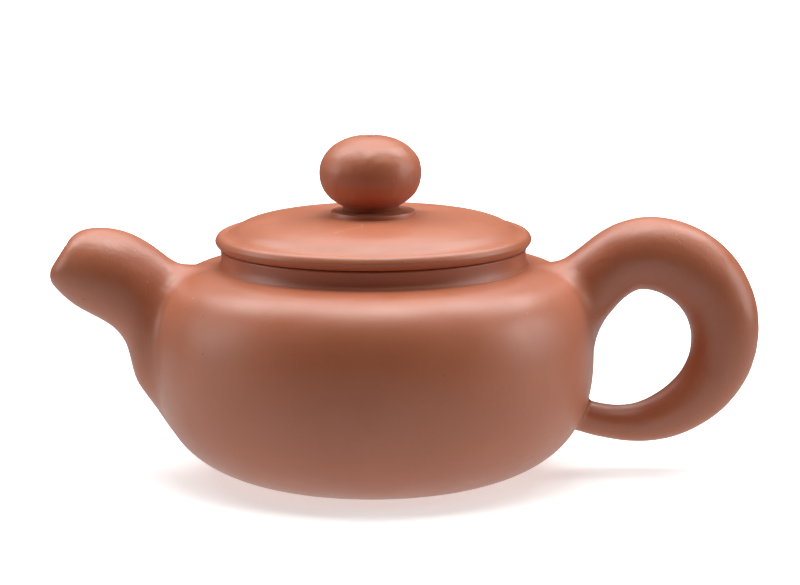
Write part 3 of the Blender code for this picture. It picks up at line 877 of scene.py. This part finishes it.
class TEAPOT_OT_lid(Operator):
    """Build the lid's dome and its flange"""

    bl_idname = "teapot.lid"
    bl_label = "Lid"

    def execute(self, context):
        steps = context.scene.teapot_shape.turned_steps
        centre = (LID_RADIUS - BEAD_RADIUS, BEAD_HEIGHT)
        bead = arc(centre, BEAD_RADIUS, BEAD_FIRST, BEAD_LAST, BEAD_STEPS)
        ridge = np.linspace(BEAD_FIRST, BEAD_LAST, BEAD_STEPS + 1) / BEAD_RIDGE_SPREAD
        bead[:, 0] += BEAD_RIDGE * np.exp(-(ridge**2))
        groove = bead[0]
        dome = curve(
            (CROWN_RADIUS, CROWN_HEIGHT), (CROWN_RADIUS + CROWN_PULL, CROWN_HEIGHT),
            (groove[0] - GROOVE_PULL, groove[1] + GROOVE_RISE), groove, 30,
        )
        hollow = curve(
            (FLANGE_INNER, LID_SEAT), (FLANGE_INNER - LID_THICKNESS, CROWN_HEIGHT - LID_THICKNESS),
            (FLANGE_INNER - LID_THICKNESS, CROWN_HEIGHT - LID_THICKNESS),
            (CROWN_RADIUS, CROWN_HEIGHT - LID_THICKNESS), 16,
        )
        radii = (VENT_RADIUS,) + CROWN_RINGS
        crown = [(r, CROWN_HEIGHT) for r in radii]
        under = [(r, CROWN_HEIGHT - LID_THICKNESS) for r in reversed(radii)]
        outline = np.vstack([crown, dome, bead[1:], [(bead[-1][0], LID_SEAT)], hollow, under])
        points, faces = turned_mesh(outline, steps)
        shift = np.clip(1 - np.hypot(points[:, 0], points[:, 1]) / VENT_DRIFT, 0, 1)
        points[:, 0] += VENT_SHIFT * shift
        clay = clay_material("lid_clay", 1.0, 0.0, scratches=LID_SCRATCHES)
        dome_piece = new_piece("lid_top", points, faces, clay)
        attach(dome_piece, "lid")
        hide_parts("lid_dome")

        flange = rounded(
            [
                (FLANGE_INNER, LID_SEAT + 0.02), (FLANGE_OUTER, LID_SEAT + 0.02),
                (FLANGE_OUTER, FLANGE_TOE), (FLANGE_INNER, FLANGE_TOE),
            ],
            0.5,
        )
        points, faces = turned_mesh(flange, steps)
        ring = new_piece("lid_ring", points, faces, clay_material("lid_ring_clay", 1.6, 0.0, 0.85, 0.1))
        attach(ring, "lid")
        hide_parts("lid_flange")
        return {"FINISHED"}


class TEAPOT_OT_knob(Operator):
    """Build the knob and the collar it stands on"""

    bl_idname = "teapot.knob"
    bl_label = "Knob"

    def execute(self, context):
        shape = context.scene.teapot_shape
        collar = rounded(
            [
                (VENT_RADIUS, COLLAR_BOTTOM - 0.3), (COLLAR_RADIUS + 0.1, COLLAR_BOTTOM - 0.3),
                (COLLAR_RADIUS - 0.05, COLLAR_TOP + 0.05), (COLLAR_RADIUS - 1.2, COLLAR_TOP - 0.12),
                (STEM_RADIUS + 0.3, COLLAR_TOP - 0.05), (STEM_RADIUS - 0.3, COLLAR_TOP + 0.3),
                (VENT_RADIUS, COLLAR_TOP + 0.3),
            ],
            0.34,
        )
        points, faces = turned_mesh(collar, 128)
        points[:, 0] += VENT_SHIFT * np.clip(1 - np.hypot(points[:, 0], points[:, 1]) / 4, 0, 1)
        piece = new_piece("knob_step", points, faces, clay_material("collar_clay", 1.0, 0.0))
        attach(piece, "lid")
        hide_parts("knob_collar")

        power = 2 / KNOB_ROUNDNESS
        first = -acos((STEM_RADIUS / KNOB_RADIUS) ** (KNOB_ROUNDNESS / 2))
        last = acos((VENT_FUNNEL / KNOB_RADIUS) ** (KNOB_ROUNDNESS / 2))
        angle = np.linspace(first, last, 60)
        ball = np.stack(
            [
                KNOB_RADIUS * np.cos(angle) ** power,
                KNOB_CENTRE + KNOB_HALF_HEIGHT * np.sign(angle) * np.abs(np.sin(angle)) ** power,
            ],
            1,
        )
        stem = [(VENT_RADIUS, COLLAR_TOP + 0.1), (STEM_RADIUS, COLLAR_TOP + 0.1)]
        mouth = [(VENT_RADIUS + 0.15, ball[-1][1] - 0.35), (VENT_RADIUS, ball[-1][1] - 0.9)]
        points, faces = turned_mesh(np.vstack([stem, ball, mouth]), 128, KNOB_SHIFT)
        near = np.clip(1 - np.hypot(points[:, 0] - KNOB_SHIFT, points[:, 1]) / 6, 0, 1)
        points[:, 0] += (VENT_SHIFT - KNOB_SHIFT) * near
        centre = np.array([KNOB_SHIFT, 0, KNOB_CENTRE])
        normals = points - centre
        normals /= np.linalg.norm(normals, axis=1)[:, None]
        outer = np.clip(np.hypot(points[:, 0] - KNOB_SHIFT, points[:, 1]) / 5 - 0.8, 0, 1)
        depth = KNOB_UNEVENNESS * shape.hand_unevenness / MM
        points = unevenness(points, normals * outer[:, None], depth, KNOB_FACET)
        piece = new_piece("knob_ball", points, faces, clay_material("knob_clay", 0.0, 0.8))
        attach(piece, "lid")
        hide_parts("knob")
        return {"FINISHED"}


class TEAPOT_OT_strainer(Operator):
    """Dress the strainer behind the spout"""

    bl_idname = "teapot.strainer"
    bl_label = "Strainer"

    def execute(self, context):
        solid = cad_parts["strainer"]
        solid.data.materials.clear()
        solid.data.materials.append(clay_material("strainer_clay", 0.4, 0.3, 0.85, 0.1))
        return {"FINISHED"}


class TEAPOT_OT_stage(Operator):
    """Build the pale floor, the soft lamps and the camera"""

    bl_idname = "teapot.stage"
    bl_label = "Studio"

    def execute(self, context):
        stage = context.scene.teapot_stage
        self.floor()
        for name, azimuth, elevation, share in LAMPS:
            self.lamp(name, azimuth, elevation, share * stage.lamp_power)
        self.world(stage.world_strength)
        self.camera()
        context.scene.view_settings.view_transform = "Standard"
        return {"FINISHED"}

    def floor(self):
        """A pale sweep that gives white light from below."""
        material = bpy.data.materials.new("studio_floor")
        material.use_nodes = True
        t = Tree(material.node_tree)
        shader = material.node_tree.nodes["Principled BSDF"]
        shader.inputs["Roughness"].default_value = 0.9
        shader.inputs["Specular IOR Level"].default_value = 0.1
        path = t.node("ShaderNodeLightPath")
        pale = t.mix(path.outputs["Is Camera Ray"], FLOOR_UNSEEN_COLOUR, FLOOR_COLOUR)
        t.set(shader.inputs["Base Color"], pale)
        where = t.node("ShaderNodeTexCoord").outputs["Object"]
        away = t.vector("LENGTH", where)
        seen = t.ramp(away, *FLOOR_SEEN)
        glow = t.ramp(away, *FLOOR_GLOW_EDGE, bpy.context.scene.teapot_stage.table_glow, 0.0)
        shader.inputs["Emission Color"].default_value = (1, 1, 1, 1)
        level = t.math("MULTIPLY", path.outputs["Is Camera Ray"], seen)
        unseen = t.math("MULTIPLY", t.math("SUBTRACT", 1.0, path.outputs["Is Camera Ray"]), glow)
        t.set(shader.inputs["Emission Strength"], t.math("ADD", level, unseen))
        start = SWEEP_BACK - SWEEP_BEND
        profile = [(SWEEP_FRONT, 0.0), (start, 0.0)]
        for k in range(1, SWEEP_STEPS + 1):
            a = pi / 2 * k / SWEEP_STEPS
            profile.append((start + SWEEP_BEND * sin(a), SWEEP_BEND - SWEEP_BEND * cos(a)))
        profile.append((SWEEP_BACK, SWEEP_RISE))
        points = [(x, y, z) for y, z in profile for x in (-SWEEP_WIDTH, SWEEP_WIDTH)]
        faces = [(2 * k, 2 * k + 1, 2 * k + 3, 2 * k + 2) for k in range(len(profile) - 1)]
        piece = new_piece("studio_sweep", np.array(points) / MM, faces, material)

    def lamp(self, name, azimuth, elevation, power):
        """A soft square lamp that faces the pot; azimuth 0 is the photographer's side."""
        data = bpy.data.lights.new(name, "AREA")
        data.shape = "SQUARE"
        data.size = LAMP_SIZE
        data.energy = power
        lamp = bpy.data.objects.new(name, data)
        bpy.context.scene.collection.objects.link(lamp)
        turn, rise = radians(azimuth), radians(elevation)
        out = Vector((sin(turn) * cos(rise), -cos(turn) * cos(rise), sin(rise)))
        lamp.location = Vector((0, 0, 0.03)) + out * LAMP_DISTANCE
        lamp.rotation_euler = (-out).to_track_quat("-Z", "Y").to_euler()

    def world(self, strength):
        """A white background behind a dim room."""
        world = bpy.data.worlds.new("pale_room")
        bpy.context.scene.world = world
        world.use_nodes = True
        t = Tree(world.node_tree)
        background = world.node_tree.nodes["Background"]
        path = t.node("ShaderNodeLightPath")
        background.inputs["Color"].default_value = (1, 1, 1, 1)
        level = t.math("ADD", t.math("MULTIPLY", path.outputs["Is Camera Ray"], 1 - strength), strength)
        t.set(background.inputs["Strength"], level)

    def camera(self):
        """The camera that looks from in front, a little above level."""
        data = bpy.data.cameras.new("photo_camera")
        data.lens = CAMERA_LENS
        data.sensor_width = 36.0
        data.clip_start, data.clip_end = 0.05, 20
        camera = bpy.data.objects.new("photo_camera", data)
        bpy.context.scene.collection.objects.link(camera)
        tilt, roll = radians(CAMERA_ELEVATION), radians(CAMERA_ROLL)
        back = Vector((0, -cos(tilt), sin(tilt)))
        flat, rise = Vector((1, 0, 0)), Vector((0, sin(tilt), cos(tilt)))
        right = flat * cos(roll) + rise * sin(roll)
        up = rise * cos(roll) - flat * sin(roll)
        place = Vector(CAMERA_TARGET) * MM + back * (CAMERA_DISTANCE * MM)
        turn = Matrix((right, up, back)).transposed().to_4x4()
        camera.matrix_world = Matrix.Translation(place) @ turn
        bpy.context.scene.camera = camera


class TEAPOT_PT_panel(Panel):
    """Lists the teapot's operators and settings"""

    bl_idname = "TEAPOT_PT_panel"
    bl_label = "Teapot"
    bl_space_type = "VIEW_3D"
    bl_region_type = "UI"
    bl_category = "Teapot"

    def draw(self, context):
        """Lay out one button per operator and every setting."""
        for operator in OPERATORS:
            self.layout.operator(operator.bl_idname)
        for group in (context.scene.teapot_shape, context.scene.teapot_clay, context.scene.teapot_stage):
            for name in group.__annotations__:
                self.layout.prop(group, name)


OPERATORS = (
    TEAPOT_OT_pot,
    TEAPOT_OT_neck,
    TEAPOT_OT_strainer,
    TEAPOT_OT_lid,
    TEAPOT_OT_knob,
    TEAPOT_OT_stage,
)
CLASSES = (TeapotShape, TeapotClay, TeapotStage) + OPERATORS + (TEAPOT_PT_panel,)


def register():
    """Register the classes and their settings on the scene."""
    for item in CLASSES:
        bpy.utils.register_class(item)
    bpy.types.Scene.teapot_shape = PointerProperty(type=TeapotShape)
    bpy.types.Scene.teapot_clay = PointerProperty(type=TeapotClay)
    bpy.types.Scene.teapot_stage = PointerProperty(type=TeapotStage)


def unregister():
    """Take the settings and the classes away."""
    del bpy.types.Scene.teapot_stage
    del bpy.types.Scene.teapot_clay
    del bpy.types.Scene.teapot_shape
    for item in reversed(CLASSES):
        bpy.utils.unregister_class(item)


def main():
    """Build every piece and the stage."""
    register()
    bpy.ops.teapot.pot()
    bpy.ops.teapot.neck()
    bpy.ops.teapot.strainer()
    bpy.ops.teapot.lid()
    bpy.ops.teapot.knob()
    bpy.ops.teapot.stage()


if __name__ == "__main__":
    main()
